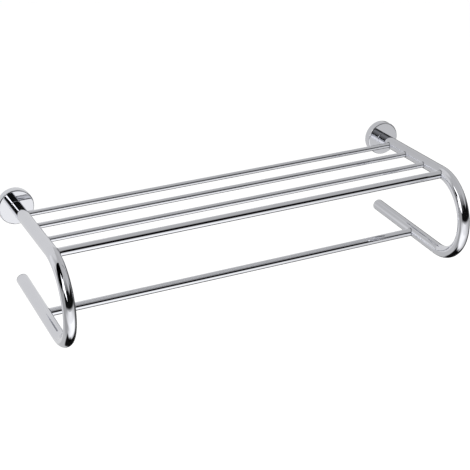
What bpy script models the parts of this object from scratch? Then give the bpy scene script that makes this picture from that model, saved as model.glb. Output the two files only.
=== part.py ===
"""Wall towel rack: a shelf of round bars over one towel rail, between two bent tube arms.

Metres. +X runs along the bars, +Y into the wall and +Z up. The origin is on the wall,
midway between the arms, at the height of their upper legs.
"""
import math

import bmesh
import bpy
from mathutils import Vector

# Whole rack
ARM_SPACING = 0.600  # between the centrelines of the two arms
FIT_GAP = 0.0003  # left between pieces that touch, fit or screw into each other
CUT_OVERRUN = 0.002  # how far a cutter runs past the face it cuts
SIDES = (("left", -1), ("right", 1))

# Arms: round tube, bent once into a U
ARM_DIAMETER = 0.018
ARM_WALL = 0.0012
UPPER_LEG_LENGTH = 0.180  # from the wall to the start of the bend
BEND_RADIUS = 0.063  # of the tube's centreline
LOWER_LEG_RISE = math.radians(2.5)  # the lower leg climbs towards the wall
BEND_STEPS = 22
TUBE_SIDES = 24

# Bars: their places are shares of the upper leg's length, counted from the wall
SHELF_BAR_DIAMETER = 0.008
SHELF_BAR_SHARES = (("rear", 0.24), ("middle", 0.505), ("front", 0.79))
THICK_BAR_DIAMETER = 0.012
THICK_BAR_WALL = 0.001
FRONT_BAR_PAST_BEND = 0.007  # the front bar sits just past the start of the bend
RAIL_PLACE_SHARE = 0.62
BAR_ENTRY = 0.002  # how far a bar's end stands inside the arm's bore
BAR_SIDES = 20

# Rosettes: turned cups that cover the wall brackets
ROSETTE_DIAMETER = 0.052
ROSETTE_DEPTH = 0.012
ROSETTE_FRONT_WALL = 0.003
ROSETTE_RIM_WALL = 0.003
ROSETTE_EDGE_RADIUS = 0.0007
EDGE_STEPS = 3
ROUND_SIDES = 40

# Wall brackets: discs with a groove for the set screw and two countersunk holes
BRACKET_THICKNESS = 0.006
BRACKET_CENTRE_HOLE = 0.016
GROOVE_DEPTH = 0.001
WALL_SCREW_HOLE = 0.0045
WALL_SCREW_HEAD = 0.0085
WALL_SCREW_PLACE_SHARE = 0.5  # between the centre hole and the rim

# Arm bolts, with their washers and the feet they screw into
BOLT_DIAMETER = 0.006
BOLT_HEAD_DIAMETER = 0.010
BOLT_HEAD_HEIGHT = 0.0035
BOLT_GRIP = 0.010  # length of thread inside the foot
BOLT_SOCKET_WIDTH = 0.004
BOLT_SOCKET_DEPTH = 0.002
WASHER_DIAMETER = 0.012
WASHER_THICKNESS = 0.0012
FOOT_LENGTH = 0.016
TAPPED_SPARE = 0.002  # empty thread past the bolt's end
FASTENER_SIDES = 18

# Set screws
SET_SCREW_DIAMETER = 0.004
SET_SCREW_TIP = 0.001
SET_SCREW_RECESS = 0.0003
SET_SCREW_SOCKET_WIDTH = 0.002
SET_SCREW_SOCKET_DEPTH = 0.0015

# Bumpers: plugs in the lower legs' free ends
BUMPER_HEAD_THICKNESS = 0.0012
BUMPER_CROWN = 0.0008
BUMPER_SHANK_LENGTH = 0.010
CROWN_STEPS = 3

# Sizes that follow from the ones above
ARM_RADIUS = ARM_DIAMETER / 2
BORE_RADIUS = ARM_RADIUS - ARM_WALL
ROSETTE_RADIUS = ROSETTE_DIAMETER / 2
CUP_RADIUS = ROSETTE_RADIUS - ROSETTE_RIM_WALL
CUP_DEPTH = ROSETTE_DEPTH - ROSETTE_FRONT_WALL
BRACKET_RADIUS = CUP_RADIUS - FIT_GAP
BOLT_HOLE_RADIUS = BOLT_DIAMETER / 2 + FIT_GAP
SET_SCREW_HEIGHT = BRACKET_THICKNESS / 2
ARM_START = ROSETTE_DEPTH + FIT_GAP
WASHER_TOP = CUP_DEPTH - FIT_GAP
HEAD_TOP = WASHER_TOP - WASHER_THICKNESS - FIT_GAP
CROWN_SPHERE = (ARM_RADIUS ** 2 + BUMPER_CROWN ** 2) / (2 * BUMPER_CROWN)
BUMPER_REACH = FIT_GAP + BUMPER_HEAD_THICKNESS + BUMPER_CROWN
ARM_END = BUMPER_REACH * math.cos(LOWER_LEG_RISE) + CROWN_SPHERE * (1 - math.cos(LOWER_LEG_RISE))
FRONT_BAR_DISTANCE = UPPER_LEG_LENGTH + FRONT_BAR_PAST_BEND
RAIL_DISTANCE = UPPER_LEG_LENGTH * RAIL_PLACE_SHARE
SHARP_ANGLE = math.radians(30)


def start_scene():
    """Empties the file and makes the two collections."""
    for old in list(bpy.data.objects):
        bpy.data.objects.remove(old, do_unlink=True)
    made = []
    for name in ("towel_rack", "cutters"):
        group = bpy.data.collections.new(name)
        bpy.context.scene.collection.children.link(group)
        made.append(group)
    return made


def finish(name, colour, metallic, roughness):
    """A material with the colour and shine of one kind of piece."""
    material = bpy.data.materials.new(name)
    material.use_nodes = True
    shader = material.node_tree.nodes["Principled BSDF"]
    shader.inputs["Base Color"].default_value = (*colour, 1.0)
    shader.inputs["Metallic"].default_value = metallic
    shader.inputs["Roughness"].default_value = roughness
    return material


def add_object(name, mesh, group, carrier=None):
    """Links a mesh as an object, on the empty that carries it where there is one."""
    piece = bpy.data.objects.new(name, mesh)
    piece.parent = carrier
    group.objects.link(piece)
    if group is CUTTERS:
        piece.hide_render = True
        piece.display_type = "WIRE"
    return piece


def turned(name, profile, sides, group, carrier=None, ring=False):
    """Turns (radius, height) points round Z. A ring's profile is closed, a solid's ends on the axis."""
    outline = bmesh.new()
    points = [outline.verts.new((radius, 0, height)) for radius, height in profile]
    for first, second in zip(points, points[1:] + points[:1] if ring else points[1:]):
        outline.edges.new((first, second))
    mesh = bpy.data.meshes.new(name)
    outline.to_mesh(mesh)
    outline.free()
    piece = add_object(name, mesh, group, carrier)
    turn = piece.modifiers.new("Turn", "SCREW")
    turn.steps = turn.render_steps = sides
    turn.use_merge_vertices = True
    turn.merge_threshold = 1e-6
    return piece


def prism(name, width, length, sides, group, carrier=None):
    """A straight bar of a given width across its corners, along Z, with its lower end at the origin."""
    body = bmesh.new()
    bmesh.ops.create_cone(body, cap_ends=True, segments=sides, radius1=width / 2, radius2=width / 2, depth=length)
    bmesh.ops.translate(body, verts=body.verts, vec=(0, 0, length / 2))
    mesh = bpy.data.meshes.new(name)
    body.to_mesh(mesh)
    body.free()
    return add_object(name, mesh, group, carrier)


def swept(name, path, radius, group):
    """A round rod along a path: a bevelled curve with filled caps, made a mesh with its caps welded."""
    curve = bpy.data.curves.new(name, "CURVE")
    curve.dimensions = "3D"
    curve.bevel_depth = radius
    curve.bevel_resolution = (TUBE_SIDES - 4) // 2
    curve.use_fill_caps = True
    spline = curve.splines.new("POLY")
    spline.points.add(len(path) - 1)
    for point, place in zip(spline.points, path):
        point.co = (*place, 1)
    guide = bpy.data.objects.new(name + "_guide", curve)
    bpy.context.scene.collection.objects.link(guide)
    shown = guide.evaluated_get(bpy.context.evaluated_depsgraph_get())
    mesh = bpy.data.meshes.new_from_object(shown)
    mesh.name = name
    bpy.data.objects.remove(guide, do_unlink=True)
    body = bmesh.new()
    body.from_mesh(mesh)
    bmesh.ops.remove_doubles(body, verts=body.verts, dist=1e-6)
    body.to_mesh(mesh)
    body.free()
    return add_object(name, mesh, group)


def cut(piece, cutter):
    """Takes the cutter's shape out of the piece."""
    hole = piece.modifiers.new("Cut " + cutter.name, "BOOLEAN")
    hole.operation = "DIFFERENCE"
    hole.solver = "EXACT"
    hole.object = cutter


def settle(pieces):
    """Applies the modifiers, and shades round faces smooth between sharp edges."""
    scene_now = bpy.context.evaluated_depsgraph_get()
    meshes = [bpy.data.meshes.new_from_object(piece.evaluated_get(scene_now)) for piece in pieces]
    for piece, mesh in zip(pieces, meshes):
        piece.modifiers.clear()
        piece.data = mesh
        mesh.shade_smooth()
        mesh.set_sharp_from_angle(angle=SHARP_ANGLE)


def wall_frame(side_name, side):
    """An empty on the wall under one arm, with its Z axis pointing away from the wall."""
    carrier = bpy.data.objects.new("wall_point_" + side_name, None)
    carrier.location = (side * ARM_SPACING / 2, 0, 0)
    carrier.rotation_euler = (math.pi / 2, 0, 0)
    RACK.objects.link(carrier)
    return carrier


def arm_line(start, end, beyond=0):
    """The arm's centreline as (y, z): upper leg, bend and lower leg, from start to end off the wall."""
    points = [(-start + beyond, 0)]
    for step in range(BEND_STEPS + 1):
        turn = (math.pi + LOWER_LEG_RISE) * step / BEND_STEPS
        y = -UPPER_LEG_LENGTH - BEND_RADIUS * math.sin(turn)
        points.append((y, BEND_RADIUS * (math.cos(turn) - 1)))
    points.append((beyond - end, lower_leg_height(end - beyond)))
    return points


def upper_leg_height(distance):
    """Height of the arm's upper centreline at a distance from the wall, also in the bend."""
    past = max(0, distance - UPPER_LEG_LENGTH)
    return math.sqrt(BEND_RADIUS ** 2 - past ** 2) - BEND_RADIUS


def lower_leg_height(distance):
    """Height of the lower leg's centreline at a distance from the wall."""
    bend_end = UPPER_LEG_LENGTH - BEND_RADIUS * math.sin(LOWER_LEG_RISE)
    bend_foot = -BEND_RADIUS * (1 + math.cos(LOWER_LEG_RISE))
    return bend_foot + (bend_end - distance) * math.tan(LOWER_LEG_RISE)


def bar_places():
    """Every bar as its name, diameter, distance from the wall and height."""
    places = []
    for name, share in SHELF_BAR_SHARES:
        distance = UPPER_LEG_LENGTH * share
        places.append(("shelf_bar_" + name, SHELF_BAR_DIAMETER, distance, upper_leg_height(distance)))
    places.append(("front_bar", THICK_BAR_DIAMETER, FRONT_BAR_DISTANCE, upper_leg_height(FRONT_BAR_DISTANCE)))
    places.append(("towel_rail", THICK_BAR_DIAMETER, RAIL_DISTANCE, lower_leg_height(RAIL_DISTANCE)))
    return places


def make_arm(side_name, side):
    """Bent tube, open at both ends, with a hole in its inner wall for each bar."""
    x = side * ARM_SPACING / 2
    path = [(x, y, z) for y, z in arm_line(ARM_START, ARM_END)]
    arm = swept("arm_" + side_name, path, ARM_RADIUS, RACK)
    path = [(x, y, z) for y, z in arm_line(ARM_START, ARM_END, CUT_OVERRUN)]
    cut(arm, swept("arm_bore_" + side_name, path, BORE_RADIUS, CUTTERS))
    for name, diameter, distance, height in bar_places():
        hole = prism(
            f"hole_{name}_{side_name}", diameter + 2 * FIT_GAP, ARM_RADIUS + CUT_OVERRUN, TUBE_SIDES, CUTTERS
        )
        hole.location = (x, -distance, height)
        hole.rotation_euler = (0, -side * math.pi / 2, 0)
        cut(arm, hole)
    arm.data.materials.append(finish("arm_chrome", (0.80, 0.81, 0.82), 1.0, 0.06))
    return arm


def make_bars():
    """Shelf bars are solid rod. The front bar and the towel rail are tube."""
    bars = []
    length = ARM_SPACING - 2 * (BORE_RADIUS - BAR_ENTRY)
    chrome = finish("bar_chrome", (0.78, 0.79, 0.80), 1.0, 0.05)
    for name, diameter, distance, height in bar_places():
        if diameter == THICK_BAR_DIAMETER:
            outer, inner = diameter / 2, diameter / 2 - THICK_BAR_WALL
            profile = [(inner, length), (outer, length), (outer, 0), (inner, 0)]
            bar = turned(name, profile, BAR_SIDES, RACK, ring=True)
        else:
            bar = prism(name, diameter, length, BAR_SIDES, RACK)
        bar.location = (-length / 2, -distance, height)
        bar.rotation_euler = (0, math.pi / 2, 0)
        bar.data.materials.append(chrome)
        bars.append(bar)
    return bars


def make_rosette(side_name, carrier):
    """Turned cup with its open side on the wall, a bolt hole in front and a set screw hole below."""
    profile = [(BOLT_HOLE_RADIUS, ROSETTE_DEPTH)]
    edge_centre = Vector((ROSETTE_RADIUS - ROSETTE_EDGE_RADIUS, ROSETTE_DEPTH - ROSETTE_EDGE_RADIUS))
    for step in range(EDGE_STEPS + 1):
        turn = math.pi / 2 * step / EDGE_STEPS
        profile.append(edge_centre + ROSETTE_EDGE_RADIUS * Vector((math.sin(turn), math.cos(turn))))
    profile += [(ROSETTE_RADIUS, 0), (CUP_RADIUS, 0), (CUP_RADIUS, CUP_DEPTH), (BOLT_HOLE_RADIUS, CUP_DEPTH)]
    rosette = turned("rosette_" + side_name, profile, ROUND_SIDES, RACK, carrier, ring=True)
    wall = ROSETTE_RIM_WALL + 2 * CUT_OVERRUN
    hole = prism(
        "set_screw_hole_" + side_name, SET_SCREW_DIAMETER + 2 * FIT_GAP, wall, FASTENER_SIDES, CUTTERS, carrier
    )
    hole.location = (0, CUT_OVERRUN - CUP_RADIUS, SET_SCREW_HEIGHT)
    hole.rotation_euler = (math.pi / 2, 0, 0)
    cut(rosette, hole)
    rosette.data.materials.append(finish("rosette_chrome", (0.82, 0.83, 0.84), 1.0, 0.04))
    return rosette


def make_bracket(side_name, carrier):
    """Cast disc that stays on the wall. The rosette slips over it and the set screw bites in its groove."""
    centre, floor = BRACKET_CENTRE_HOLE / 2, BRACKET_RADIUS - GROOVE_DEPTH
    half_floor = SET_SCREW_TIP / 2 + FIT_GAP
    half_mouth = half_floor + GROOVE_DEPTH
    profile = [
        (centre, BRACKET_THICKNESS),
        (BRACKET_RADIUS, BRACKET_THICKNESS),
        (BRACKET_RADIUS, SET_SCREW_HEIGHT + half_mouth),
        (floor, SET_SCREW_HEIGHT + half_floor),
        (floor, SET_SCREW_HEIGHT - half_floor),
        (BRACKET_RADIUS, SET_SCREW_HEIGHT - half_mouth),
        (BRACKET_RADIUS, 0),
        (centre, 0),
    ]
    bracket = turned("wall_bracket_" + side_name, profile, ROUND_SIDES, RACK, carrier, ring=True)
    hole_radius, head_radius = WALL_SCREW_HOLE / 2, WALL_SCREW_HEAD / 2
    cone_foot = BRACKET_THICKNESS - (head_radius - hole_radius)
    hole_profile = [
        (0, BRACKET_THICKNESS + CUT_OVERRUN),
        (head_radius, BRACKET_THICKNESS + CUT_OVERRUN),
        (head_radius, BRACKET_THICKNESS),
        (hole_radius, cone_foot),
        (hole_radius, -CUT_OVERRUN),
        (0, -CUT_OVERRUN),
    ]
    place = centre + (BRACKET_RADIUS - centre) * WALL_SCREW_PLACE_SHARE
    for name, direction in SIDES:
        hole = turned(f"screw_hole_{name}_{side_name}", hole_profile, FASTENER_SIDES, CUTTERS, carrier)
        hole.location = (direction * place, 0, 0)
        cut(bracket, hole)
    bracket.data.materials.append(finish("bracket_steel", (0.55, 0.55, 0.54), 1.0, 0.45))
    return bracket


def socket(piece, width, depth, base, carrier):
    """Cuts a hexagon socket of a given width across its flats into the lower end of a fastener."""
    corners = width / math.cos(math.pi / 6)
    key = prism(piece.name + "_socket", corners, depth + CUT_OVERRUN, 6, CUTTERS, carrier)
    key.location = base - Vector((0, 0, CUT_OVERRUN))
    cut(piece, key)


def make_bolt(side_name, carrier):
    """Socket head screw: its head is inside the rosette and its thread in the arm's foot."""
    shank, head = BOLT_DIAMETER / 2, BOLT_HEAD_DIAMETER / 2
    tip, head_base = ARM_START + BOLT_GRIP, HEAD_TOP - BOLT_HEAD_HEIGHT
    profile = [(0, tip), (shank, tip), (shank, HEAD_TOP), (head, HEAD_TOP), (head, head_base), (0, head_base)]
    bolt = turned("arm_bolt_" + side_name, profile, FASTENER_SIDES, RACK, carrier)
    socket(bolt, BOLT_SOCKET_WIDTH, BOLT_SOCKET_DEPTH, Vector((0, 0, head_base)), carrier)
    bolt.data.materials.append(finish("bolt_steel", (0.50, 0.50, 0.51), 1.0, 0.35))
    return bolt


def make_washer(side_name, carrier):
    """Flat ring between the bolt's head and the rosette's front wall."""
    outer, base = WASHER_DIAMETER / 2, WASHER_TOP - WASHER_THICKNESS
    profile = [(BOLT_HOLE_RADIUS, WASHER_TOP), (outer, WASHER_TOP), (outer, base), (BOLT_HOLE_RADIUS, base)]
    washer = turned("bolt_washer_" + side_name, profile, FASTENER_SIDES, RACK, carrier, ring=True)
    washer.data.materials.append(finish("washer_steel", (0.58, 0.58, 0.57), 1.0, 0.4))
    return washer


def make_foot(side_name, carrier):
    """Brass plug in the arm's wall end, tapped for the bolt."""
    radius, top = BORE_RADIUS - FIT_GAP, ARM_START + FOOT_LENGTH
    tapped_end = ARM_START + BOLT_GRIP + TAPPED_SPARE
    profile = [
        (0, top),
        (radius, top),
        (radius, ARM_START),
        (BOLT_HOLE_RADIUS, ARM_START),
        (BOLT_HOLE_RADIUS, tapped_end),
        (0, tapped_end),
    ]
    foot = turned("arm_foot_" + side_name, profile, TUBE_SIDES, RACK, carrier)
    foot.data.materials.append(finish("foot_brass", (0.72, 0.55, 0.28), 1.0, 0.35))
    return foot


def make_set_screw(side_name, carrier):
    """Grub screw with a cone point, up through the rosette's underside into the bracket's groove."""
    radius, tip_radius = SET_SCREW_DIAMETER / 2, SET_SCREW_TIP / 2
    tip = GROOVE_DEPTH - BRACKET_RADIUS - FIT_GAP
    base = SET_SCREW_RECESS - ROSETTE_RADIUS
    profile = [(0, tip), (tip_radius, tip), (radius, tip - radius + tip_radius), (radius, base), (0, base)]
    screw = turned("set_screw_" + side_name, profile, FASTENER_SIDES, RACK)
    screw.location = carrier.location - Vector((0, SET_SCREW_HEIGHT, 0))
    socket(screw, SET_SCREW_SOCKET_WIDTH, SET_SCREW_SOCKET_DEPTH, screw.location + Vector((0, 0, base)), None)
    screw.data.materials.append(finish("set_screw_steel", (0.30, 0.30, 0.31), 1.0, 0.4))
    return screw


def make_bumper(side_name, carrier):
    """Nylon plug in the lower leg's free end, with a domed head that leans on the wall."""
    base = FIT_GAP + BUMPER_HEAD_THICKNESS
    sphere_centre = BUMPER_REACH - CROWN_SPHERE
    profile = []
    for step in range(CROWN_STEPS + 1):
        radius = ARM_RADIUS * step / CROWN_STEPS
        profile.append((radius, sphere_centre + math.sqrt(CROWN_SPHERE ** 2 - radius ** 2)))
    shank = BORE_RADIUS - FIT_GAP
    profile[-1] = (ARM_RADIUS, base)
    profile += [
        (ARM_RADIUS, FIT_GAP),
        (shank, FIT_GAP),
        (shank, -BUMPER_SHANK_LENGTH),
        (0, -BUMPER_SHANK_LENGTH),
    ]
    bumper = turned("leg_bumper_" + side_name, profile, TUBE_SIDES, RACK)
    bumper.location = (carrier.location.x, -ARM_END, lower_leg_height(ARM_END))
    bumper.rotation_euler = (LOWER_LEG_RISE - math.pi / 2, 0, 0)
    bumper.data.materials.append(finish("bumper_nylon", (0.62, 0.63, 0.64), 0.0, 0.5))
    return bumper


RACK, CUTTERS = start_scene()
rack_pieces = make_bars()
for arm_side, arm_sign in SIDES:
    wall_point = wall_frame(arm_side, arm_sign)
    rack_pieces.append(make_arm(arm_side, arm_sign))
    for make in (make_rosette, make_bracket, make_bolt, make_washer, make_foot, make_set_screw, make_bumper):
        rack_pieces.append(make(arm_side, wall_point))
settle(rack_pieces)
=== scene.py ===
"""Looks of a wall towel rack: chromed tube arms, a shelf of bars, a towel rail and rosettes.

Metres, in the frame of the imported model: +X along the bars, +Y into the wall and +Z up.
The origin is on the wall, midway between the arms, at the height of their upper legs.
"""
import math

import bmesh
import bpy
from mathutils import Matrix, Quaternion, Vector


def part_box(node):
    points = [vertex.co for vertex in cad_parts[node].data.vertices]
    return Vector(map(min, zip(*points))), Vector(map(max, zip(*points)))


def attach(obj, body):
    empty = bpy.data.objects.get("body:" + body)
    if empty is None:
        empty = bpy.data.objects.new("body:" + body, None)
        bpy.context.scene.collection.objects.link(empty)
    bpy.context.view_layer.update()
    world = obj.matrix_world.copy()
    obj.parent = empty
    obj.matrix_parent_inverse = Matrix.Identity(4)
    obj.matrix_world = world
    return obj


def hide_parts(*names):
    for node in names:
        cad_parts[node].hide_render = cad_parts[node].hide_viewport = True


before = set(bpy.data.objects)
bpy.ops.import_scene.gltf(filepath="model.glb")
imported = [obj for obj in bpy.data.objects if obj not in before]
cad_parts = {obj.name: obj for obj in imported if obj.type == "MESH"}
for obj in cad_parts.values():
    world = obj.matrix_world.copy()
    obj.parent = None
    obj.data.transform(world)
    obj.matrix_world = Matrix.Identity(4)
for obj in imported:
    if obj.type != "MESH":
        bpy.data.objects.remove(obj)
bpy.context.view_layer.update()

# Camera. A long lens looks at the rack from above and a little from the left. The angles,
# the distance and the lens were found from the edges of the tubes in the photograph.
CAMERA_AZIMUTH = math.radians(-23.77)
CAMERA_ELEVATION = math.radians(23.99)
CAMERA_ROLL = math.radians(-1.74)
CAMERA_DISTANCE = 1.79057
CAMERA_AIM = Vector((-0.01074, -0.120, -0.06111))
LENS_MM = 94.56
SENSOR_MM = 36.0

camera = bpy.data.objects.new("camera", bpy.data.cameras.new("camera"))
camera.data.sensor_width = SENSOR_MM
camera.data.lens = LENS_MM
camera_back = Vector((
    math.sin(CAMERA_AZIMUTH) * math.cos(CAMERA_ELEVATION),
    -math.cos(CAMERA_AZIMUTH) * math.cos(CAMERA_ELEVATION),
    math.sin(CAMERA_ELEVATION),
))
camera.location = CAMERA_AIM + camera_back * CAMERA_DISTANCE
camera.rotation_mode = "QUATERNION"
camera.rotation_quaternion = camera_back.to_track_quat("Z", "Y") @ Quaternion((0, 0, 1), CAMERA_ROLL)
bpy.context.scene.collection.objects.link(camera)
bpy.context.scene.camera = camera
bpy.context.scene.view_settings.view_transform = "Standard"

# Wall brackets. Each is a steel disc on the wall, held by two countersunk screws, that the
# rosette slips over. The disc is turned, with a groove for the grub screw round its rim, and
# has a thin blue-white zinc plate that looks dull and slightly cloudy.
SIDES = {"left": 1, "right": -1}  # the way along X from each arm to the rack's middle
OUT_OF_WALL = Vector((0, -1, 0))
TURN_STEPS = 128
CUTTER_STEPS = 48
WELD = 1e-6
SHARP_ANGLE = math.radians(28)
SUPPORT_SHARE = 1.5  # how far past a rounding the face is held flat
BRACKET_THICKNESS = 0.006
BRACKET_CENTRE_HOLE = 0.016
BRACKET_EDGE = 0.0003
GROOVE_DEPTH = 0.001
GROOVE_FLOOR = 0.0016
WALL_SCREW_HOLE = 0.0045
WALL_SCREW_HEAD = 0.0085
WALL_SCREW_PLACE = 0.01535
CUT_OVERRUN = 0.001
MM_PER_METRE = 1000
ZINC_CLOUD_MM = 5.0
ZINC_CLOUD_RANGE = (0.35, 0.65)  # the noise levels of its darkest and its palest patches
ZINC_DULL_RANGE = (0.3, 0.7)  # the noise levels of its shiniest and its dullest patches
ZINC_DULL_SPREAD = 0.08
ZINC_GRAIN_MM = 0.35
ZINC_RELIEF = 0.00004
ZINC_RELIEF_SHARE = 0.35
TURNED_LINE_MM = 0.45  # real ones are finer, and wouldn't show
TURNED_LINE_SHARE = 0.15  # how high a line stands beside the grain


def outline(corners, arc_steps=5):
    """A turned section as (radius, height) points, from corners of (radius, height, rounding)."""
    points = []
    for index, (radius, height, rounding) in enumerate(corners):
        here = Vector((radius, height))
        if not rounding:
            points.append(here)
            continue
        before = (Vector(corners[index - 1][:2]) - here).normalized()
        after = (Vector(corners[(index + 1) % len(corners)][:2]) - here).normalized()
        half = before.angle(after) / 2
        reach = rounding / math.tan(half)
        centre = here + (before + after).normalized() * rounding / math.sin(half)
        first, last = here + before * reach - centre, here + after * reach - centre
        points.append(here + before * reach * SUPPORT_SHARE)
        for step in range(arc_steps + 1):
            points.append(centre + first.lerp(last, step / arc_steps).normalized() * rounding)
        points.append(here + after * reach * SUPPORT_SHARE)
    return points


def shade(mesh):
    """Round faces look smooth, and edges sharper than a set angle stay crisp."""
    mesh.shade_smooth()
    mesh.set_sharp_from_angle(angle=SHARP_ANGLE)


def piece_from(name, body):
    """Turns a finished bmesh into a shaded object in the scene."""
    mesh = bpy.data.meshes.new(name)
    body.to_mesh(mesh)
    body.free()
    shade(mesh)
    piece = bpy.data.objects.new(name, mesh)
    bpy.context.scene.collection.objects.link(piece)
    return piece


def turned(name, points, centre, axis, closed=True, steps=TURN_STEPS):
    """Spins a section about an axis, as a lathe does, and notes each point's radius."""
    body = bmesh.new()
    out = axis.orthogonal().normalized()
    verts = [body.verts.new(centre + out * radius + axis * height) for radius, height in points]
    ends = verts[1:] + verts[:1] if closed else verts[1:]
    edges = [body.edges.new(pair) for pair in zip(verts, ends)]
    bmesh.ops.spin(
        body, geom=verts + edges, cent=centre, axis=axis, angle=2 * math.pi, steps=steps, use_merge=True
    )
    bmesh.ops.remove_doubles(body, verts=body.verts, dist=WELD)
    bmesh.ops.recalc_face_normals(body, faces=body.faces)
    lathe_radius = body.verts.layers.float.new("lathe_radius")
    for vert in body.verts:
        arm = vert.co - centre
        vert[lathe_radius] = (arm - axis * arm.dot(axis)).length
    return piece_from(name, body)


def bored(piece, cutter):
    """Takes the cutter's shape out of a piece, and removes the cutter."""
    bore = piece.modifiers.new("Bore", "BOOLEAN")
    bore.operation = "DIFFERENCE"
    bore.solver = "EXACT"
    bore.object = cutter
    cut_mesh = bpy.data.meshes.new_from_object(piece.evaluated_get(bpy.context.evaluated_depsgraph_get()))
    piece.modifiers.clear()
    piece.data = cut_mesh
    shade(cut_mesh)
    bpy.data.objects.remove(cutter, do_unlink=True)


def linear(hex_colour):
    """An sRGB hex colour as the linear values that a socket takes, by the standard's formula."""
    channels = [int(hex_colour[place:place + 2], 16) / 255 for place in (0, 2, 4)]
    return [c / 12.92 if c <= 0.04045 else ((c + 0.055) / 1.055) ** 2.4 for c in channels] + [1.0]


def add_node(tree, kind, settings=None, **sockets):
    """Adds a node with its settings, and gives each socket a value or a link.

    A socket goes by its name, with _ for each space, or by _ and its number where several
    share a name. 6 and 7 are the colours that a Mix node blends.
    """
    node = tree.nodes.new(kind)
    for name, value in (settings or {}).items():
        setattr(node, name, value)
    for name, value in sockets.items():
        place = int(name[1:]) if name[0] == "_" else name.replace("_", " ")
        if isinstance(value, bpy.types.NodeSocket):
            tree.links.new(value, node.inputs[place])
        else:
            node.inputs[place].default_value = value
    return node


def new_material(name):
    """An empty material with a Principled shader, and its node tree."""
    material = bpy.data.materials.new(name)
    material.use_nodes = True
    return material, material.node_tree, material.node_tree.nodes["Principled BSDF"]


def zinc_plate(name, pale_hex, dark_hex, roughness):
    """Clear zinc plate on turned steel: cloudy pale patches over fine rings from the lathe."""
    material, tree, shader = new_material(name)
    place = add_node(tree, "ShaderNodeTexCoord").outputs["Object"]
    cloud = add_node(
        tree, "ShaderNodeTexNoise", Vector=place, Scale=MM_PER_METRE / ZINC_CLOUD_MM, Detail=4.0,
        Roughness=0.6,
    ).outputs["Fac"]
    grain = add_node(
        tree, "ShaderNodeTexNoise", Vector=place, Scale=MM_PER_METRE / ZINC_GRAIN_MM, Detail=2.0
    ).outputs["Fac"]
    radius = add_node(tree, "ShaderNodeAttribute", {"attribute_name": "lathe_radius"}).outputs["Fac"]
    ring_angle = add_node(
        tree, "ShaderNodeMath", {"operation": "MULTIPLY"}, _0=radius,
        _1=2 * math.pi * MM_PER_METRE / TURNED_LINE_MM,
    ).outputs[0]
    rings = add_node(tree, "ShaderNodeMath", {"operation": "SINE"}, _0=ring_angle).outputs[0]
    darkest, palest = ZINC_CLOUD_RANGE
    tone = add_node(
        tree, "ShaderNodeMapRange", Value=cloud, From_Min=darkest, From_Max=palest
    ).outputs[0]
    colour = add_node(
        tree, "ShaderNodeMix", {"data_type": "RGBA"}, _0=tone, _6=linear(dark_hex), _7=linear(pale_hex)
    ).outputs[2]
    shiniest, dullest = ZINC_DULL_RANGE
    dull = add_node(
        tree, "ShaderNodeMapRange", Value=cloud, From_Min=shiniest, From_Max=dullest,
        To_Min=roughness - ZINC_DULL_SPREAD, To_Max=roughness + ZINC_DULL_SPREAD,
    ).outputs[0]
    relief = add_node(
        tree, "ShaderNodeMath", {"operation": "MULTIPLY_ADD"}, _0=rings, _1=TURNED_LINE_SHARE, _2=grain
    ).outputs[0]
    bump = add_node(
        tree, "ShaderNodeBump", Strength=ZINC_RELIEF_SHARE, Distance=ZINC_RELIEF, Height=relief
    ).outputs[0]
    tree.links.new(colour, shader.inputs["Base Color"])
    tree.links.new(dull, shader.inputs["Roughness"])
    tree.links.new(bump, shader.inputs["Normal"])
    shader.inputs["Metallic"].default_value = 1.0
    return material


bracket_zinc = zinc_plate("blue_white_zinc_plate", pale_hex="B4B7BA", dark_hex="94979B", roughness=0.42)
wall_axes = {}
for side in SIDES:
    low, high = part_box("wall_bracket_" + side)
    wall_point = Vector(((low.x + high.x) / 2, 0, 0))
    wall_axes[side] = wall_point
    rim = (high.x - low.x) / 2
    middle = BRACKET_THICKNESS / 2
    disc_section = outline([
        (BRACKET_CENTRE_HOLE / 2, 0, BRACKET_EDGE),
        (BRACKET_CENTRE_HOLE / 2, BRACKET_THICKNESS, BRACKET_EDGE),
        (rim, BRACKET_THICKNESS, BRACKET_EDGE),
        (rim, middle + GROOVE_FLOOR / 2 + GROOVE_DEPTH, 0),
        (rim - GROOVE_DEPTH, middle + GROOVE_FLOOR / 2, 0),
        (rim - GROOVE_DEPTH, middle - GROOVE_FLOOR / 2, 0),
        (rim, middle - GROOVE_FLOOR / 2 - GROOVE_DEPTH, 0),
        (rim, 0, BRACKET_EDGE),
    ])
    disc = turned("wall_disc_" + side, disc_section, wall_point, OUT_OF_WALL)
    hole, head = WALL_SCREW_HOLE / 2, WALL_SCREW_HEAD / 2
    sink_section = [
        (0, BRACKET_THICKNESS + CUT_OVERRUN),
        (head, BRACKET_THICKNESS + CUT_OVERRUN),
        (head, BRACKET_THICKNESS),
        (hole, BRACKET_THICKNESS - head + hole),
        (hole, -CUT_OVERRUN),
        (0, -CUT_OVERRUN),
    ]
    for way in (-1, 1):
        place = wall_point + Vector((way * WALL_SCREW_PLACE, 0, 0))
        bored(disc, turned(
            "screw_cutter", sink_section, place, OUT_OF_WALL, closed=False, steps=CUTTER_STEPS
        ))
    disc.data.materials.append(bracket_zinc)
    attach(disc, "root")
    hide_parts("wall_bracket_" + side)

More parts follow.
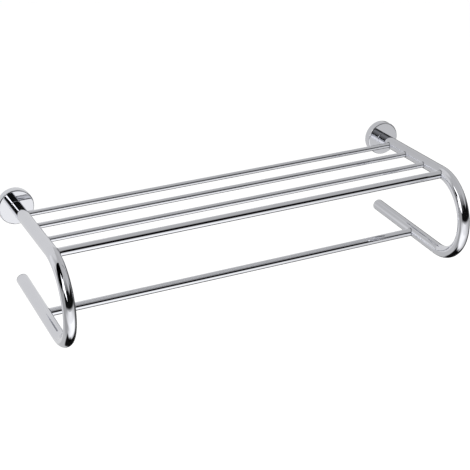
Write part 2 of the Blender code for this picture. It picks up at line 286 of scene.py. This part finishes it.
# Arm bolts, washers and feet. A socket head screw runs from inside the rosette, through a
# flat washer, into a tapped brass foot that is brazed in the arm's wall end. Screw and
# washer are bright zinc, and the foot shows the lathe's rings on plain brass.
BOLT_DIAMETER = 0.006
BOLT_HEAD_DIAMETER = 0.010
BOLT_HEAD_HEIGHT = 0.0035
BOLT_CHAMFER = 0.0006
BOLT_SOCKET_WIDTH = 0.004
BOLT_SOCKET_DEPTH = 0.002
FASTENER_EDGE = 0.0002
FIT_GAP = 0.0003
THREAD_PITCH = 0.001
THREAD_DEPTH = 0.0006
FASTENER_STEPS = 64
BRASS_DARK_HEX = "C9A45E"
BRASS_PALE_HEX = "DDBE7C"
BRASS_ROUGHNESS = 0.28
BRASS_RING_MM = 3.1416  # real ones are finer, and wouldn't show
BRASS_RELIEF = 0.00003
BRASS_RELIEF_SHARE = 0.3
WAVE_RADIANS = 20  # how far the wave texture's angle turns in one unit

fastener_zinc = zinc_plate("bright_zinc_plate", pale_hex="BDBFC1", dark_hex="A3A5A8", roughness=0.3)
brass, brass_tree, brass_shader = new_material("turned_brass")
brass_place = add_node(brass_tree, "ShaderNodeTexCoord").outputs["Object"]
brass_rings = add_node(
    brass_tree, "ShaderNodeTexWave", {"bands_direction": "Y"}, Vector=brass_place,
    Scale=2 * math.pi * MM_PER_METRE / BRASS_RING_MM / WAVE_RADIANS, Distortion=1.5, Detail=2.0,
).outputs["Fac"]
brass_colour = add_node(
    brass_tree, "ShaderNodeMix", {"data_type": "RGBA"}, _0=brass_rings, _6=linear(BRASS_DARK_HEX),
    _7=linear(BRASS_PALE_HEX),
).outputs[2]
brass_bump = add_node(
    brass_tree, "ShaderNodeBump", Strength=BRASS_RELIEF_SHARE, Distance=BRASS_RELIEF, Height=brass_rings
).outputs[0]
brass_tree.links.new(brass_colour, brass_shader.inputs["Base Color"])
brass_tree.links.new(brass_bump, brass_shader.inputs["Normal"])
brass_shader.inputs["Metallic"].default_value = 1.0
brass_shader.inputs["Roughness"].default_value = BRASS_ROUGHNESS


def hexagon(name, across_flats, centre, axis, length):
    """A hexagon bar along an axis, to cut a key's socket with."""
    body = bmesh.new()
    corner = across_flats / 2 / math.cos(math.pi / 6)
    bmesh.ops.create_cone(body, cap_ends=True, segments=6, radius1=corner, radius2=corner, depth=length)
    turn = axis.to_track_quat("Z", "Y").to_matrix().to_4x4()
    bmesh.ops.transform(body, matrix=Matrix.Translation(centre) @ turn, verts=body.verts)
    return piece_from(name, body)


for side in SIDES:
    wall_point = wall_axes[side]
    bolt_low, bolt_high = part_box("arm_bolt_" + side)
    head_base, tip = -bolt_high.y, -bolt_low.y
    head_top = head_base + BOLT_HEAD_HEIGHT
    shank, head = BOLT_DIAMETER / 2, BOLT_HEAD_DIAMETER / 2
    screw_section = [(0, head_base)] + outline([
        (shank, head_base, 0),
        (head, head_base, BOLT_CHAMFER),
        (head, head_top, FASTENER_EDGE),
        (shank, head_top, 0),
    ])[1:]
    height = head_top + THREAD_PITCH
    while height < tip - THREAD_PITCH:
        screw_section += [(shank, height), (shank - THREAD_DEPTH, height + THREAD_PITCH / 2)]
        height += THREAD_PITCH
    screw_section += [(shank, height), (shank - THREAD_DEPTH, tip), (0, tip)]
    screw = turned(
        "socket_screw_" + side, screw_section, wall_point, OUT_OF_WALL, closed=False, steps=FASTENER_STEPS
    )
    socket_place = wall_point + OUT_OF_WALL * (head_base + (BOLT_SOCKET_DEPTH - CUT_OVERRUN) / 2)
    bored(screw, hexagon(
        "key_cutter", BOLT_SOCKET_WIDTH, socket_place, OUT_OF_WALL, BOLT_SOCKET_DEPTH + CUT_OVERRUN
    ))
    screw.data.materials.append(fastener_zinc)
    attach(screw, "root")
    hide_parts("arm_bolt_" + side)

    washer_low, washer_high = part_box("bolt_washer_" + side)
    washer_rim = (washer_high.x - washer_low.x) / 2
    washer_hole = shank + FIT_GAP
    washer_section = outline([
        (washer_hole, -washer_high.y, FASTENER_EDGE),
        (washer_rim, -washer_high.y, FASTENER_EDGE),
        (washer_rim, -washer_low.y, FASTENER_EDGE),
        (washer_hole, -washer_low.y, FASTENER_EDGE),
    ])
    washer = turned("flat_washer_" + side, washer_section, wall_point, OUT_OF_WALL, steps=FASTENER_STEPS)
    washer.data.materials.append(fastener_zinc)
    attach(washer, "root")
    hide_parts("bolt_washer_" + side)

    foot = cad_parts["arm_foot_" + side]
    foot.material_slots[0].material = brass

# Rosettes. Each is a round cup turned from brass bar, polished to a mirror and plated with
# nickel and chrome. Its flat face has a small rounded edge, its open side is on the wall,
# and a grub screw in its underside holds it.
ROSETTE_DEPTH = 0.012
ROSETTE_WALL = 0.003
ROSETTE_EDGE = 0.0018
ROSETTE_HAIR = 0.00001  # how far the rim stays inside the solid's box
ROSETTE_INNER_EDGE = 0.0004
GRUB_DIAMETER = 0.004
GRUB_HEIGHT = 0.003
GRUB_TIP = 0.0005
GRUB_SOCKET_WIDTH = 0.002
GRUB_SOCKET_DEPTH = 0.0015
CHROME_HEX = "E8E9EE"
CHROME_HAZE_HEX = "E2E3E8"
HAZE_MM = 24.0
HAZE_RANGE = (0.12, 0.42)  # the noise levels of the smoothest and the haziest patches
RIPPLE_MM = 38.0
UP = Vector((0, 0, 1))


def chrome_plate(name, smooth, hazy, ripple, lines_mm, bright_hex=CHROME_HEX, haze_hex=CHROME_HAZE_HEX):
    """Bright chrome plate: a blue-white mirror with faint haze, hair lines and a slight ripple.

    The polishing wheel leaves the hair lines. Their sizes along the three axes are in lines_mm,
    and are far coarser than real ones, which wouldn't show.
    """
    material, tree, shader = new_material(name)
    place = add_node(tree, "ShaderNodeTexCoord").outputs["Object"]
    haze = add_node(
        tree, "ShaderNodeTexNoise", Vector=place, Scale=MM_PER_METRE / HAZE_MM, Detail=5.0, Roughness=0.6,
        Distortion=0.4,
    ).outputs["Fac"]
    lie = add_node(
        tree, "ShaderNodeMapping", Vector=place, Scale=[MM_PER_METRE / size for size in lines_mm]
    ).outputs[0]
    lines = add_node(tree, "ShaderNodeTexNoise", Vector=lie, Scale=1.0, Detail=3.0).outputs["Fac"]
    swell = add_node(
        tree, "ShaderNodeTexNoise", Vector=place, Scale=MM_PER_METRE / RIPPLE_MM, Detail=1.0
    ).outputs["Fac"]
    colour = add_node(
        tree, "ShaderNodeMix", {"data_type": "RGBA"}, _0=haze, _6=linear(bright_hex), _7=linear(haze_hex)
    ).outputs[2]
    marks = add_node(tree, "ShaderNodeMath", {"operation": "MULTIPLY"}, _0=haze, _1=lines).outputs[0]
    smoothest, haziest = HAZE_RANGE
    dull = add_node(
        tree, "ShaderNodeMapRange", Value=marks, From_Min=smoothest, From_Max=haziest, To_Min=smooth,
        To_Max=hazy,
    ).outputs[0]
    bump = add_node(tree, "ShaderNodeBump", Strength=1.0, Distance=ripple, Height=swell).outputs[0]
    tree.links.new(colour, shader.inputs["Base Color"])
    tree.links.new(dull, shader.inputs["Roughness"])
    tree.links.new(bump, shader.inputs["Normal"])
    shader.inputs["Metallic"].default_value = 1.0
    return material


rosette_chrome = chrome_plate(
    "chrome_plate_on_turned_brass", smooth=0.02, hazy=0.045, ripple=0.000004, lines_mm=(0.4, 16.67, 0.4)
)
for side in SIDES:
    wall_point = wall_axes[side]
    low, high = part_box("rosette_" + side)
    rim = (high.x - low.x) / 2 - ROSETTE_HAIR
    cup, bolt_hole = rim - ROSETTE_WALL, BOLT_DIAMETER / 2 + FIT_GAP
    cup_section = outline([
        (bolt_hole, ROSETTE_DEPTH, FASTENER_EDGE),
        (rim, ROSETTE_DEPTH, ROSETTE_EDGE),
        (rim, 0, ROSETTE_INNER_EDGE),
        (cup, 0, ROSETTE_INNER_EDGE),
        (cup, ROSETTE_DEPTH - ROSETTE_WALL, ROSETTE_INNER_EDGE),
        (bolt_hole, ROSETTE_DEPTH - ROSETTE_WALL, FASTENER_EDGE),
    ], arc_steps=7)
    rosette = turned("rosette_cup_" + side, cup_section, wall_point, OUT_OF_WALL)
    grub_hole = GRUB_DIAMETER / 2 + FIT_GAP
    grub_line = wall_point + OUT_OF_WALL * GRUB_HEIGHT
    hole_section = [
        (0, -rim - CUT_OVERRUN),
        (grub_hole, -rim - CUT_OVERRUN),
        (grub_hole, -cup + CUT_OVERRUN),
        (0, -cup + CUT_OVERRUN),
    ]
    bored(rosette, turned("grub_cutter", hole_section, grub_line, UP, closed=False, steps=CUTTER_STEPS))
    rosette.data.materials.append(rosette_chrome)
    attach(rosette, "root")
    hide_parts("rosette_" + side)

    grub_low, grub_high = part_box("set_screw_" + side)
    grub = GRUB_DIAMETER / 2
    grub_section = [
        (0, grub_low.z),
        (grub - FASTENER_EDGE, grub_low.z),
        (grub, grub_low.z + FASTENER_EDGE),
        (grub, grub_high.z - grub + GRUB_TIP),
        (GRUB_TIP, grub_high.z),
        (0, grub_high.z),
    ]
    grub_screw = turned(
        "grub_screw_" + side, grub_section, grub_line, UP, closed=False, steps=FASTENER_STEPS
    )
    key_place = grub_line + UP * (grub_low.z + (GRUB_SOCKET_DEPTH - CUT_OVERRUN) / 2)
    bored(grub_screw, hexagon(
        "key_cutter", GRUB_SOCKET_WIDTH, key_place, UP, GRUB_SOCKET_DEPTH + CUT_OVERRUN
    ))
    grub_screw.data.materials.append(fastener_zinc)
    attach(grub_screw, "root")
    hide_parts("set_screw_" + side)

# Arms. Each is round brass tube of 18 mm, bent once into a U, then polished and chromed.
# The upper leg ends on the rosette's face. The lower leg climbs a little towards the wall,
# and leans there with the plug in its open end.
ARM_RADIUS = 0.00893  # a hair under the solids', whose box it stays in
ARM_BORE = 0.0078
ARM_START = 0.0123
ARM_END = 0.00235
UPPER_LEG = 0.180
BEND_RADIUS = 0.063
LEG_RISE = math.radians(2.5)
ARM_SIDES = 96
BEND_STEPS = 120
ARM_END_EDGE = 0.00025
LEG_HOLD = 0.0015  # a ring this far from a bend or an end keeps the leg's shading straight
lower_leg_way = Vector((0, math.cos(LEG_RISE), math.sin(LEG_RISE)))
bend_end = Vector((
    0,
    -UPPER_LEG + BEND_RADIUS * math.sin(LEG_RISE),
    -BEND_RADIUS * (1 + math.cos(LEG_RISE)),
))
lower_leg = (-ARM_END - bend_end.y) / math.cos(LEG_RISE)


def ring_edges(verts):
    """The edges that join a ring's own points."""
    ring = set(verts)
    return list({edge for vert in verts for edge in vert.link_edges if edge.other_vert(vert) in ring})


def drawn_on(body, edges, way, length):
    """Draws an open end on by a length, with a holding ring near both ends of the new stretch."""
    for stretch in (LEG_HOLD, length - 2 * LEG_HOLD, LEG_HOLD):
        grown = bmesh.ops.extrude_edge_only(body, edges=edges)["geom"]
        verts = [item for item in grown if isinstance(item, bmesh.types.BMVert)]
        bmesh.ops.translate(body, verts=verts, vec=way * stretch)
        edges = ring_edges(verts)
    return edges


def arm_skin(body, x, radius):
    """One skin of the bent tube, and the ring of edges at each of its open ends."""
    stand = Matrix.Translation((x, -ARM_START, 0)) @ Matrix.Rotation(math.pi / 2, 4, "X")
    circle = bmesh.ops.create_circle(body, segments=ARM_SIDES, radius=radius, matrix=stand)
    wall_end = ring_edges(circle["verts"])
    edges = drawn_on(body, wall_end, OUT_OF_WALL, UPPER_LEG - ARM_START)
    verts = list({vert for edge in edges for vert in edge.verts})
    bend = bmesh.ops.spin(
        body, geom=verts + edges, cent=(x, -UPPER_LEG, -BEND_RADIUS), axis=(1, 0, 0),
        angle=math.pi + LEG_RISE, steps=BEND_STEPS,
    )
    last = ring_edges([item for item in bend["geom_last"] if isinstance(item, bmesh.types.BMVert)])
    return wall_end, drawn_on(body, last, lower_leg_way, lower_leg)


arm_chrome = chrome_plate(
    "chrome_plate_on_bent_tube", smooth=0.02, hazy=0.045, ripple=0.000005, lines_mm=(1.111, 11.11, 1.111)
)
for side in SIDES:
    arm_body = bmesh.new()
    x = wall_axes[side].x
    outer_ends = arm_skin(arm_body, x, ARM_RADIUS)
    inner_ends = arm_skin(arm_body, x, ARM_BORE)
    for outer, inner in zip(outer_ends, inner_ends):
        bmesh.ops.bridge_loops(arm_body, edges=outer + inner)
    bmesh.ops.recalc_face_normals(arm_body, faces=arm_body.faces)
    bmesh.ops.bevel(
        arm_body, geom=outer_ends[0] + outer_ends[1], offset=ARM_END_EDGE, offset_type="OFFSET",
        segments=3, profile=0.5, affect="EDGES", material=-1,
    )
    arm_tube = piece_from("arm_tube_" + side, arm_body)
    arm_tube.data.materials.append(arm_chrome)
    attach(arm_tube, "root")
    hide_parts("arm_" + side)

# Shelf bars, front bar and towel rail. The three thin bars are solid brass rod, and the
# front bar and the rail are 12 mm tube. All are drawn, polished along their length and
# chromed. Their ends are let into the arms' inner walls.
THICK_BAR_WALL = 0.001
BAR_EDGE = 0.0003
BAR_STEPS = 96
ALONG_BARS = Vector((1, 0, 0))
BARS = (
    ("shelf_bar_rear", "shelf_rod_rear"),
    ("shelf_bar_middle", "shelf_rod_middle"),
    ("shelf_bar_front", "shelf_rod_front"),
    ("front_bar", "front_tube"),
    ("towel_rail", "rail_tube"),
)
bar_chrome = chrome_plate(
    "chrome_plate_on_drawn_bar", smooth=0.02, hazy=0.04, ripple=0.000004, lines_mm=(25, 0.625, 0.625)
)
bar_places = []
for node_name, bar_name in BARS:
    low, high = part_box(node_name)
    middle = (low + high) / 2
    radius = (high.z - low.z) / 2
    bar_places.append((middle, radius))
    half_length = (high.x - low.x) / 2
    if "rod" in bar_name:
        rod_section = [(0, -half_length)] + outline([
            (0, -half_length, 0),
            (radius, -half_length, BAR_EDGE),
            (radius, half_length, BAR_EDGE),
            (0, half_length, 0),
        ])[1:]
        bar = turned(bar_name, rod_section, middle, ALONG_BARS, closed=False, steps=BAR_STEPS)
    else:
        tube_section = outline([
            (radius - THICK_BAR_WALL, -half_length, BAR_EDGE),
            (radius, -half_length, BAR_EDGE),
            (radius, half_length, BAR_EDGE),
            (radius - THICK_BAR_WALL, half_length, BAR_EDGE),
        ])
        bar = turned(bar_name, tube_section, middle, ALONG_BARS, steps=BAR_STEPS)
    bar.data.materials.append(bar_chrome)
    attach(bar, "root")
    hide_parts(node_name)

# Brazed seams. Each bar's end is brazed to the arm with silver solder, dressed to a small
# hollow fillet that follows the arm's round side, and plated over with the rest. The plate
# is duller there, as solder doesn't polish like brass. Its darker grey colour is painted
# shade where each bar meets the arm.
SEAM_SIZE = 0.0008
SEAM_ROOT = 0.0002  # how deep a seam's hidden sides lie in the bar and the arm
SEAM_ARC_STEPS = 8
SEAM_STEPS = 72
# Painted shade: the seams' chrome colours are a darker grey, for the shade where the bars meet the arm.
SEAM_SHADE_HEX = "9A9BA0"
SEAM_SHADE_HAZE_HEX = "8A8B90"
seam_chrome_and_painted_shade = chrome_plate(
    "silver_solder_chrome_painted_shade", smooth=0.12, hazy=0.22, ripple=0.000010,
    lines_mm=(1.111, 1.111, 1.111), bright_hex=SEAM_SHADE_HEX, haze_hex=SEAM_SHADE_HAZE_HEX,
)


def arm_standout(y, z):
    """How far the arm's skin stands from the plane of its centreline, beside a point."""
    if z < -BEND_RADIUS:
        off = (z - bend_end.z) * math.cos(LEG_RISE) - (y - bend_end.y) * math.sin(LEG_RISE)
    elif y < -UPPER_LEG:
        off = math.hypot(y + UPPER_LEG, z + BEND_RADIUS) - BEND_RADIUS
    else:
        off = z
    return math.sqrt(ARM_RADIUS ** 2 - off ** 2)


for side in SIDES:
    seams = bmesh.new()
    arm_middle = wall_axes[side].x
    for middle, radius in bar_places:
        section = [(radius - SEAM_ROOT, -SEAM_ROOT), (radius - SEAM_ROOT, SEAM_SIZE)]
        for step in range(SEAM_ARC_STEPS + 1):
            turn = math.pi / 2 * step / SEAM_ARC_STEPS
            section.append((
                radius + SEAM_SIZE * (1 - math.cos(turn)), SEAM_SIZE * (1 - math.sin(turn))
            ))
        section.append((radius + SEAM_SIZE, -SEAM_ROOT))
        centre = Vector((arm_middle, middle.y, middle.z))
        verts = [
            seams.verts.new(centre + Vector((SIDES[side] * rise, reach, 0))) for reach, rise in section
        ]
        edges = [seams.edges.new(pair) for pair in zip(verts, verts[1:] + verts[:1])]
        bmesh.ops.spin(
            seams, geom=verts + edges, cent=centre, axis=ALONG_BARS, angle=2 * math.pi,
            steps=SEAM_STEPS, use_merge=True,
        )
    bmesh.ops.remove_doubles(seams, verts=seams.verts, dist=WELD)
    bmesh.ops.recalc_face_normals(seams, faces=seams.faces)
    for vert in seams.verts:
        vert.co.x += SIDES[side] * arm_standout(vert.co.y, vert.co.z)
    seam_piece = piece_from("brazed_seams_" + side, seams)
    seam_piece.data.materials.append(seam_chrome_and_painted_shade)
    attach(seam_piece, "root")

# Leg plugs. A grey nylon plug is pressed in each lower leg's open end. Its domed head covers
# the tube's edge and leans on the wall without marking it. Its moulded skin is matt and
# finely grained, with a faint mottle.
PLUG_HEAD = 0.0012
PLUG_CROWN = 0.0008
PLUG_SHANK = 0.010
PLUG_EDGE = 0.0003
CROWN_INSET = 0.000075  # how far inside the head's rim the dome starts
CROWN_STEPS = 12
NYLON_DARK_HEX = "A2A4A7"
NYLON_PALE_HEX = "ADAFB2"
NYLON_MOTTLE_MM = 4.0
NYLON_GRAIN_MM = 0.4
NYLON_GRAIN_RANGE = (0.3, 0.7)  # the noise levels of its shiniest and its dullest points
NYLON_SHINIEST = 0.45
NYLON_DULLEST = 0.62
NYLON_RELIEF = 0.00004
NYLON_RELIEF_SHARE = 0.4
NYLON_IOR = 1.53

nylon, nylon_tree, nylon_shader = new_material("moulded_nylon")
nylon_place = add_node(nylon_tree, "ShaderNodeTexCoord").outputs["Object"]
nylon_grain = add_node(
    nylon_tree, "ShaderNodeTexNoise", Vector=nylon_place, Scale=MM_PER_METRE / NYLON_GRAIN_MM, Detail=3.0
).outputs["Fac"]
nylon_mottle = add_node(
    nylon_tree, "ShaderNodeTexNoise", Vector=nylon_place, Scale=MM_PER_METRE / NYLON_MOTTLE_MM, Detail=2.0
).outputs["Fac"]
nylon_colour = add_node(
    nylon_tree, "ShaderNodeMix", {"data_type": "RGBA"}, _0=nylon_mottle, _6=linear(NYLON_DARK_HEX),
    _7=linear(NYLON_PALE_HEX),
).outputs[2]
nylon_dull = add_node(
    nylon_tree, "ShaderNodeMapRange", Value=nylon_grain, From_Min=NYLON_GRAIN_RANGE[0],
    From_Max=NYLON_GRAIN_RANGE[1], To_Min=NYLON_SHINIEST, To_Max=NYLON_DULLEST,
).outputs[0]
nylon_bump = add_node(
    nylon_tree, "ShaderNodeBump", Strength=NYLON_RELIEF_SHARE, Distance=NYLON_RELIEF, Height=nylon_grain
).outputs[0]
nylon_tree.links.new(nylon_colour, nylon_shader.inputs["Base Color"])
nylon_tree.links.new(nylon_dull, nylon_shader.inputs["Roughness"])
nylon_tree.links.new(nylon_bump, nylon_shader.inputs["Normal"])
nylon_shader.inputs["IOR"].default_value = NYLON_IOR

crown_sphere = (ARM_RADIUS ** 2 + PLUG_CROWN ** 2) / (2 * PLUG_CROWN)
plug_reach = FIT_GAP + PLUG_HEAD + PLUG_CROWN
for side in SIDES:
    shank = ARM_BORE - FIT_GAP
    plug_section = [
        (0, -PLUG_SHANK),
        (shank - PLUG_EDGE, -PLUG_SHANK),
        (shank, -PLUG_SHANK + PLUG_EDGE),
        (shank, FIT_GAP),
        (ARM_RADIUS - PLUG_EDGE, FIT_GAP),
        (ARM_RADIUS, FIT_GAP + PLUG_EDGE),
    ]
    for step in range(CROWN_STEPS + 1):
        radius = (ARM_RADIUS - CROWN_INSET) * (1 - step / CROWN_STEPS)
        rise = plug_reach - crown_sphere + math.sqrt(crown_sphere ** 2 - radius ** 2)
        plug_section.append((radius, rise))
    plug_centre = Vector((wall_axes[side].x, 0, 0)) + bend_end + lower_leg_way * lower_leg
    plug = turned(
        "leg_plug_" + side, plug_section, plug_centre, lower_leg_way, closed=False, steps=FASTENER_STEPS
    )
    plug.data.materials.append(nylon)
    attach(plug, "root")
    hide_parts("leg_bumper_" + side)

# Floor. A plain pale studio floor lies well below the rack, which hangs on its wall. It is
# white to the camera, and still takes the rack's soft shadow.
FLOOR_DROP = 0.62
FLOOR_HALF = 6.0
FLOOR_GLOW = 0.3
FLOOR_HEX = "E8E8E8"
WHITE_HEX = "FFFFFF"

floor_body = bmesh.new()
bmesh.ops.create_grid(floor_body, x_segments=1, y_segments=1, size=FLOOR_HALF)
bmesh.ops.translate(floor_body, verts=floor_body.verts, vec=(0, 0, -FLOOR_DROP))
floor = piece_from("floor", floor_body)
floor_paint, floor_tree, floor_shader = new_material("matt_white_paint")
floor_tree.nodes.remove(floor_shader)
seen = add_node(floor_tree, "ShaderNodeLightPath").outputs["Is Camera Ray"]
glow = add_node(
    floor_tree, "ShaderNodeMath", {"operation": "MULTIPLY"}, _0=seen, _1=FLOOR_GLOW
).outputs[0]
floor_glow = add_node(floor_tree, "ShaderNodeEmission", Color=linear(WHITE_HEX), Strength=glow)
floor_matt = add_node(floor_tree, "ShaderNodeBsdfDiffuse", Color=linear(FLOOR_HEX))
floor_sum = add_node(floor_tree, "ShaderNodeAddShader", _0=floor_matt.outputs[0], _1=floor_glow.outputs[0])
floor_tree.links.new(floor_sum.outputs[0], floor_tree.nodes["Material Output"].inputs["Surface"])
floor.data.materials.append(floor_paint)
floor.visible_glossy = False

# Studio. Chrome shows what stands round it: a dark room with a pale window, a grey ceiling and
# sides, black under the rack and two round patches of light on the wall's side. Paint and
# plastic get one plain level, and the camera sees white.
WHITE_LEVEL = 1.0
PLAIN_LEVEL = 0.85
STUDIO_BASE = 0.58
STUDIO_ZONES = (
    # Angles are in degrees: azimuth 0 is in front of the rack and 90 is on its right.
    # name, azimuth from, to, elevation from, to, soft edge across, up, level
    ("window on the left", -140, -106, -26, 64, 4, 4, 0.866),
    ("upper front", -42, 36, 16.5, 52, 5, 1.9, 0.107),
    ("ceiling", -200, 200, 42, 95, 5, 21, 0.519),
    ("under the left", -200, -69, -95, -56, 5, 4, 0.006),
    ("under the back", 155, 200, -95, -56, 5, 4, 0.006),
    ("under the right", 94.5, 168, -95, -11, 8, 6, 0.006),
    ("right under the rack", -200, 200, -95, -79.6, 5, 3, 0.002),
    ("left side", -117, -38.5, -57, 21.3, 5, 0.8, 0.408),
    ("right side", 80, 150, -44, 6, 8, 8, 0.1),
    ("dark room", -58, 85, -10.7, 17.7, 1, 4, 0.006),
    ("camera cloth", -18, 30, 10, 27.6, 2, 1, 0.006),
)
STUDIO_SPOTS = (
    # name, azimuth and elevation of its middle, radius, soft edge, level
    ("wall side", 180, 0, 34.8, 2.4, 0.75),
    ("over the wall", 199, 60, 17, 8, 0.74),
)

world = bpy.data.worlds.new("studio")
bpy.context.scene.world = world
world.use_nodes = True
sky = world.node_tree
sky.nodes.clear()
ray_way = add_node(sky, "ShaderNodeTexCoord").outputs["Generated"]
ray = add_node(sky, "ShaderNodeSeparateXYZ", _0=ray_way)
elevation = add_node(sky, "ShaderNodeMath", {"operation": "ARCSINE"}, _0=ray.outputs["Z"]).outputs[0]
front = add_node(sky, "ShaderNodeMath", {"operation": "MULTIPLY"}, _0=ray.outputs["Y"], _1=-1.0).outputs[0]
azimuth = add_node(
    sky, "ShaderNodeMath", {"operation": "ARCTAN2"}, _0=ray.outputs["X"], _1=front
).outputs[0]


def soft_step(value, start, end, soft):
    """1 between two angles and 0 outside them, with a soft edge."""
    mask = None
    for edge, way in ((start, 1), (end, -1)):
        step = add_node(
            sky, "ShaderNodeMapRange", {"interpolation_type": "SMOOTHSTEP"}, Value=value,
            From_Min=math.radians(edge - way * soft), From_Max=math.radians(edge + way * soft),
        ).outputs[0]
        mask = step if mask is None else add_node(
            sky, "ShaderNodeMath", {"operation": "MULTIPLY"}, _0=mask, _1=step
        ).outputs[0]
    return mask


def turned_to(facing_azimuth, facing_elevation):
    """The turn that makes a level, upright card face a direction."""
    across = Vector((math.cos(facing_azimuth), math.sin(facing_azimuth), 0))
    level_way = Vector((math.sin(facing_azimuth), -math.cos(facing_azimuth), 0))
    facing = level_way * math.cos(facing_elevation) + Vector((0, 0, math.sin(facing_elevation)))
    return Matrix((across, facing.cross(across), facing)).transposed().to_4x4()


light = STUDIO_BASE
for zone, left, right, bottom, top, soft_across, soft_up, level in STUDIO_ZONES:
    across = soft_step(azimuth, left, right, soft_across)
    up = soft_step(elevation, bottom, top, soft_up)
    mask = add_node(
        sky, "ShaderNodeMath", {"operation": "MULTIPLY", "label": zone}, _0=across, _1=up
    ).outputs[0]
    light = add_node(sky, "ShaderNodeMix", {"data_type": "FLOAT"}, Factor=mask, A=light, B=level).outputs[0]
for spot, spot_azimuth, spot_elevation, reach, soft, level in STUDIO_SPOTS:
    spot_way = turned_to(math.radians(spot_azimuth), math.radians(spot_elevation)).col[2].to_3d()
    nearness = add_node(
        sky, "ShaderNodeVectorMath", {"operation": "DOT_PRODUCT"}, _0=ray_way, _1=spot_way
    ).outputs["Value"]
    mask = add_node(
        sky, "ShaderNodeMapRange", {"interpolation_type": "SMOOTHSTEP", "label": spot}, Value=nearness,
        From_Min=math.cos(math.radians(reach + soft)), From_Max=math.cos(math.radians(reach - soft)),
    ).outputs[0]
    light = add_node(sky, "ShaderNodeMix", {"data_type": "FLOAT"}, Factor=mask, A=light, B=level).outputs[0]
paths = add_node(sky, "ShaderNodeLightPath")
mirrored = add_node(
    sky, "ShaderNodeMix", {"data_type": "FLOAT"}, Factor=paths.outputs["Is Glossy Ray"], A=PLAIN_LEVEL,
    B=light,
).outputs[0]
shown = add_node(
    sky, "ShaderNodeMix", {"data_type": "FLOAT"}, Factor=paths.outputs["Is Camera Ray"], A=mirrored,
    B=WHITE_LEVEL,
).outputs[0]
backdrop = add_node(sky, "ShaderNodeBackground", Color=linear(WHITE_HEX), Strength=shown)
add_node(sky, "ShaderNodeOutputWorld", Surface=backdrop.outputs[0])

# Cards. A white, a black and a pale card stand round the left arm, a dark strip hangs before
# the front bar, and the floor is lit in two patches. Only the chrome sees them. They draw the
# lens shapes in the arms' bends, the even tops of the left arm's legs and the bars' stripes.
CARDS = (
    # name, middle, azimuth and elevation it faces, size across, up, border across, up, level
    ("white_card", (-0.526, -0.665, 0.519), 81.0, 6.0, 0.682, 0.966, 0.008, 0.008, 2.0),
    ("black_card", (-0.544, -0.317, 0.236), 85.1, -56.6, 0.287, 0.653, 0.008, 0.008, 0.0),
    ("dark_strip", (0.003, -0.217, 0.0175), 0.0, 0.0, 0.572, 0.015, 0.004, 0.002, 0.0),
    ("pale_card", (-0.42, 0.25, 0.23), 0.0, 0.0, 0.74, 1.06, 0.08, 0.05, 0.74),
    ("lit_floor", (-0.266, -1.411, -0.615), 0.0, 90.0, 3.749, 1.901, 1.786, 0.244, 1.04),
    ("near_floor", (-0.036, -0.590, -0.614), 0.0, 90.0, 1.645, 0.718, 0.700, 0.170, 1.25),
)

for card_name, middle, facing_azimuth, facing_elevation, *card_size, card_level in CARDS:
    width, height, side_border, end_border = card_size
    card_body = bmesh.new()
    card_body.loops.layers.uv.new("UVMap")
    bmesh.ops.create_grid(card_body, x_segments=1, y_segments=1, size=0.5, calc_uvs=True)
    bmesh.ops.scale(card_body, verts=card_body.verts, vec=(width, height, 1))
    turn = turned_to(math.radians(facing_azimuth), math.radians(facing_elevation))
    bmesh.ops.transform(card_body, matrix=Matrix.Translation(middle) @ turn, verts=card_body.verts)
    card = piece_from(card_name, card_body)

    card_paint, card_tree, card_shader = new_material(card_name + "_paper")
    card_tree.nodes.remove(card_shader)
    card_place = add_node(card_tree, "ShaderNodeTexCoord").outputs["UV"]
    card_spot = add_node(card_tree, "ShaderNodeSeparateXYZ", _0=card_place)
    cover = []
    for way, border in (("X", side_border / width), ("Y", end_border / height)):
        inwards = add_node(
            card_tree, "ShaderNodeMath", {"operation": "PINGPONG"}, _0=card_spot.outputs[way], _1=0.5
        ).outputs[0]
        cover.append(add_node(
            card_tree, "ShaderNodeMapRange", {"interpolation_type": "SMOOTHSTEP"}, Value=inwards,
            From_Min=0.0, From_Max=border,
        ).outputs[0])
    solid = add_node(
        card_tree, "ShaderNodeMath", {"operation": "MULTIPLY"}, _0=cover[0], _1=cover[1]
    ).outputs[0]
    card_glow = add_node(card_tree, "ShaderNodeEmission", Color=linear(WHITE_HEX), Strength=card_level)
    clear = add_node(card_tree, "ShaderNodeBsdfTransparent")
    card_mix = add_node(
        card_tree, "ShaderNodeMixShader", _0=solid, _1=clear.outputs[0], _2=card_glow.outputs[0]
    )
    card_tree.links.new(card_mix.outputs[0], card_tree.nodes["Material Output"].inputs["Surface"])
    card.data.materials.append(card_paint)
    card.visible_camera = card.visible_diffuse = card.visible_shadow = False

# Lamp. One large soft lamp hangs high in front of the rack and gives the plain shadow. The
# chrome shows the studio instead of it.
LAMP_PLACE = Vector((-0.8, -1.2, 2.2))
LAMP_SIZE = 1.6
LAMP_POWER = 22.0

lamp = bpy.data.objects.new("soft_lamp", bpy.data.lights.new("soft_lamp", "AREA"))
lamp.data.size = LAMP_SIZE
lamp.data.energy = LAMP_POWER
lamp.location = LAMP_PLACE
lamp.rotation_mode = "QUATERNION"
lamp.rotation_quaternion = LAMP_PLACE.to_track_quat("Z", "Y")
lamp.visible_camera = False
lamp.visible_glossy = False
bpy.context.scene.collection.objects.link(lamp)
